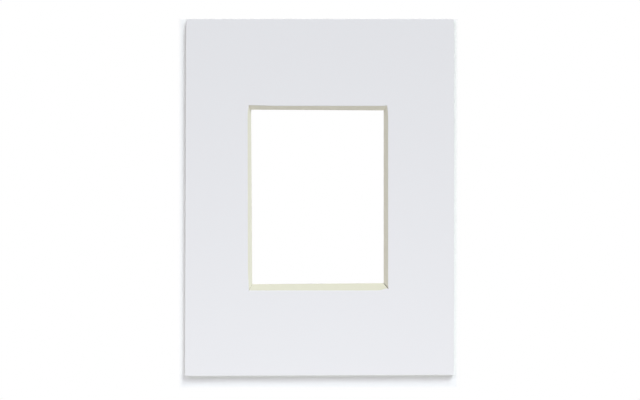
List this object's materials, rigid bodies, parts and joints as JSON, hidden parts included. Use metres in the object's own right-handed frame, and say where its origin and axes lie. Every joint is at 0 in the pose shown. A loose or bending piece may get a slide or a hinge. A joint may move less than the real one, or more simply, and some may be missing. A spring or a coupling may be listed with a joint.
{
  "type": "picture mount",
  "caption": "Upright rectangular picture mount of thick white board with a bevel-cut window that shows a cream core.",
  "frame": {"origin": "on the back face, under the middle of the board's outline", "axes": "+X across the mount towards its right-hand edge, +Y up the mount towards its head, +Z out of the face"},
  "size_m": [0.1508, 0.1996, 0.0022],
  "materials": {
    "mount_board": "matte"
  },
  "bodies": {
    "root": {"mount_board": "mount_board"}
  },
  "joints": []
}
